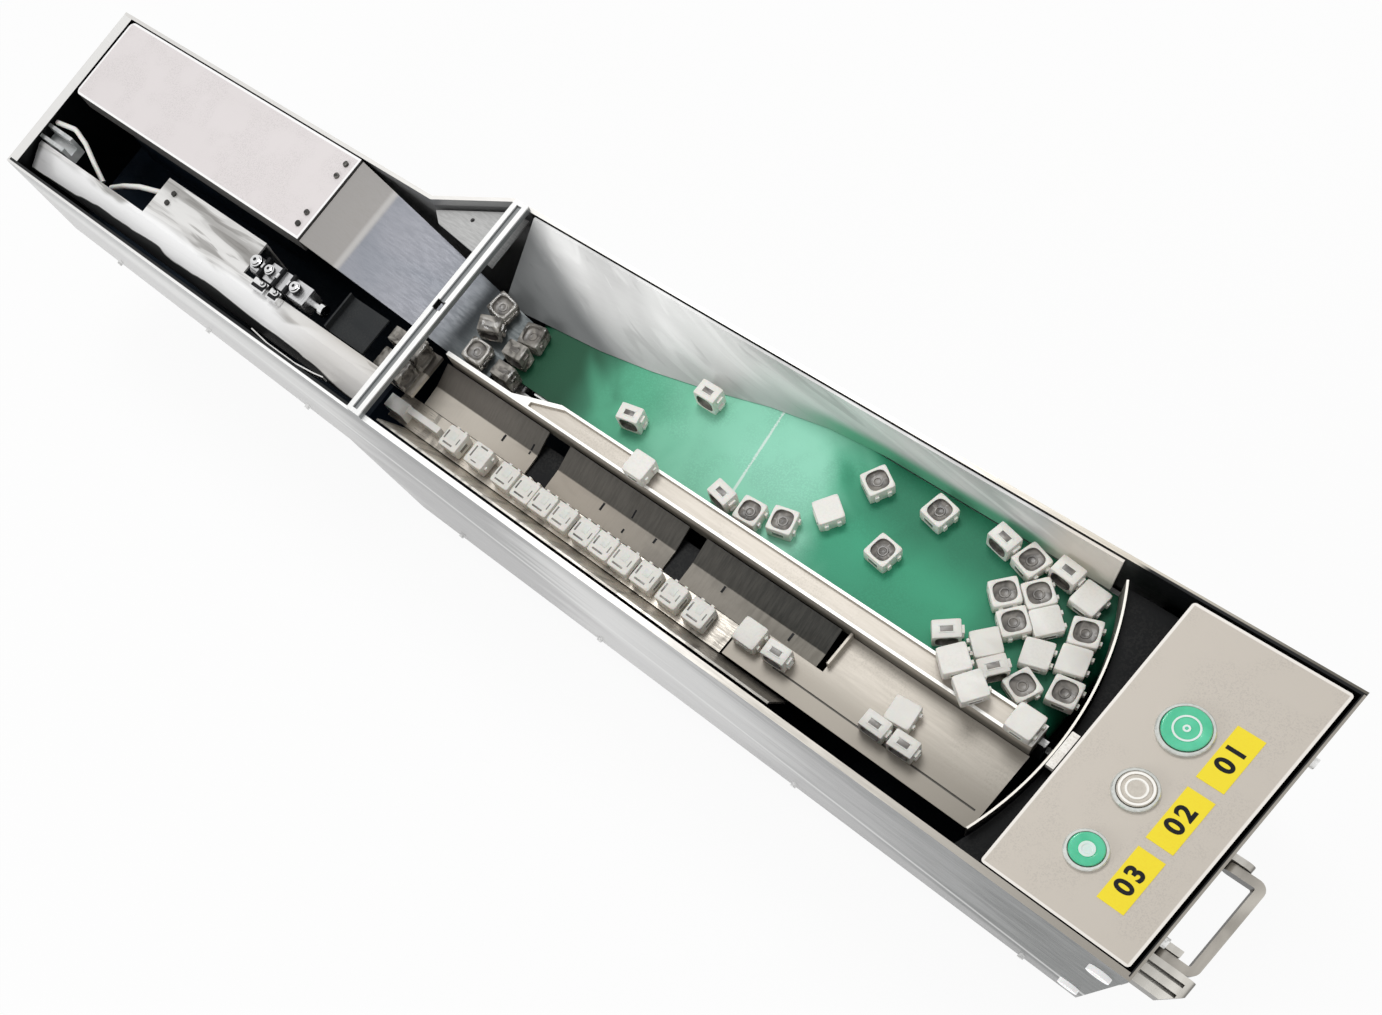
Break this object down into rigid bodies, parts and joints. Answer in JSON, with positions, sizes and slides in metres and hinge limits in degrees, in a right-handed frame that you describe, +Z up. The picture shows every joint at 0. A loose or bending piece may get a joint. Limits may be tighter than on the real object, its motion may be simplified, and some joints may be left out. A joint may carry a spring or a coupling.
{
  "type": "linear parts feeder",
  "caption": "Long open stainless bench feeder: green belt and vibrating track between casing walls, narrow covered rear arm, control panel with push buttons and folding handle.",
  "frame": {"origin": "bottom centre of the whole object's box, on the surface that its four rubber feet stand on", "axes": "+X along the casing towards the control panel, +Y towards the casing's far side, which carries the belt, +Z up"},
  "size_m": [1.019, 0.183, 0.2175],
  "materials": {
    "brushed_stainless": "brushed",
    "polished_stainless": "polished",
    "grey_cover_paint": "satin",
    "panel_paint": "satin",
    "green_belt": "matt",
    "black_steel": "matt",
    "ivory_steel": "satin",
    "dark_track": "brushed",
    "aluminium": "satin",
    "black_rubber": "matt",
    "cap_white": "matt",
    "clear_block": "clear",
    "white_tube": "satin",
    "green_button": "gloss",
    "metal_button": "satin",
    "label_yellow": "matt",
    "black_plastic": "satin",
    "copper_coil": "gloss"
  },
  "bodies": {
    "casing": {"near_wall": "brushed_stainless", "far_wall": "brushed_stainless", "front_wall": "brushed_stainless", "rear_wall": "brushed_stainless", "floor_pan": "black_steel", "gusset_plate": "brushed_stainless", "cross_bar": "brushed_stainless", "rubber_feet": "black_rubber", "small_screws": "aluminium", "power_inlet": "black_plastic", "rear_cover": "grey_cover_paint", "chute": "brushed_stainless", "controller": "black_steel", "outfeed_sheet": "polished_stainless", "air_block": "clear_block", "air_tubes": "white_tube", "escapement_body": "aluminium", "sensor_plate": "black_steel", "retaining_strap": "polished_stainless", "catch_tray": "dark_track", "hopper_plate": "polished_stainless", "divider_rail": "ivory_steel", "deflector": "polished_stainless", "front_shelf": "black_steel", "deflector_clip": "ivory_steel", "belt": "green_belt", "belt_bed": "brushed_stainless", "conveyor_frames": "aluminium", "side_grommets": "white_tube", "roller_bearings": "polished_stainless", "toothed_belt": "black_rubber", "gearmotor": "black_plastic", "motor_bracket": "brushed_stainless", "return_plate": "ivory_steel", "magnet_coil": "copper_coil", "leaf_springs": "black_steel", "vibrator_base": "black_steel", "rubber_cushions": "black_rubber", "control_panel": "panel_paint", "button_bezels": "metal_button", "button_contacts": "black_plastic", "labels": "label_yellow", "handle_brackets": "brushed_stainless", "loose_caps": "cap_white"},
    "drive_roller": {"drive_roller": "aluminium", "drive_pulley": "aluminium"},
    "idler_roller": {"idler_roller": "aluminium"},
    "motor_shaft": {"motor_pulley": "aluminium"},
    "vibrating_track": {"track_lane": "dark_track", "track_guide": "dark_track", "track_segments": "dark_track", "track_beam": "black_steel", "lane_stop": "white_tube", "queued_caps": "cap_white"},
    "escapement_rod": {"escapement_rod": "polished_stainless"},
    "start_button": {"button_start": "green_button"},
    "stop_button": {"button_stop": "metal_button"},
    "reset_button": {"button_reset": "green_button"},
    "carry_handle": {"handle_bail": "brushed_stainless"}
  },
  "joints": [
    {"name": "drive_roller_spin", "type": "hinge", "parent": "casing", "child": "drive_roller", "pos_m": [0.3645, 0.0415, 0.1589], "axis": [0, 1, 0], "continuous": true},
    {"name": "idler_roller_spin", "type": "hinge", "parent": "casing", "child": "idler_roller", "pos_m": [-0.0275, 0.0415, 0.1589], "axis": [0, 1, 0], "continuous": true},
    {"name": "motor_shaft_spin", "type": "hinge", "parent": "casing", "child": "motor_shaft", "pos_m": [0.3645, -0.0085, 0.087], "axis": [0, 1, 0], "continuous": true},
    {"name": "track_shake", "type": "slide", "parent": "casing", "child": "vibrating_track", "axis": [1, 0, 0], "range_m": [-0.0008, 0.0008], "stiffness_N_per_m": 6000, "deforming": ["leaf_springs"]},
    {"name": "escapement_stroke", "type": "slide", "parent": "casing", "child": "escapement_rod", "axis": [1, 0, 0], "range_m": [0, 0.006], "stiffness_N_per_m": 200, "springref_m": -0.002},
    {"name": "start_press", "type": "slide", "parent": "casing", "child": "start_button", "axis": [0, 0, -1], "range_m": [0, 0.003], "stiffness_N_per_m": 400, "springref_m": -0.002},
    {"name": "stop_press", "type": "slide", "parent": "casing", "child": "stop_button", "axis": [0, 0, -1], "range_m": [0, 0.003], "stiffness_N_per_m": 400, "springref_m": -0.002},
    {"name": "reset_press", "type": "slide", "parent": "casing", "child": "reset_button", "axis": [0, 0, -1], "range_m": [0, 0.003], "stiffness_N_per_m": 400, "springref_m": -0.002},
    {"name": "handle_swing", "type": "hinge", "parent": "casing", "child": "carry_handle", "pos_m": [0.49, -0.0335, 0.17], "axis": [0, 1, 0], "range_deg": [0, 80], "stiffness_Nm_per_rad": 0.2, "springref_deg": -22.92}
  ],
  "couplings": [
    {"joint": "idler_roller_spin", "follows": "drive_roller_spin", "ratio": 1},
    {"joint": "motor_shaft_spin", "follows": "drive_roller_spin", "ratio": 1}
  ]
}
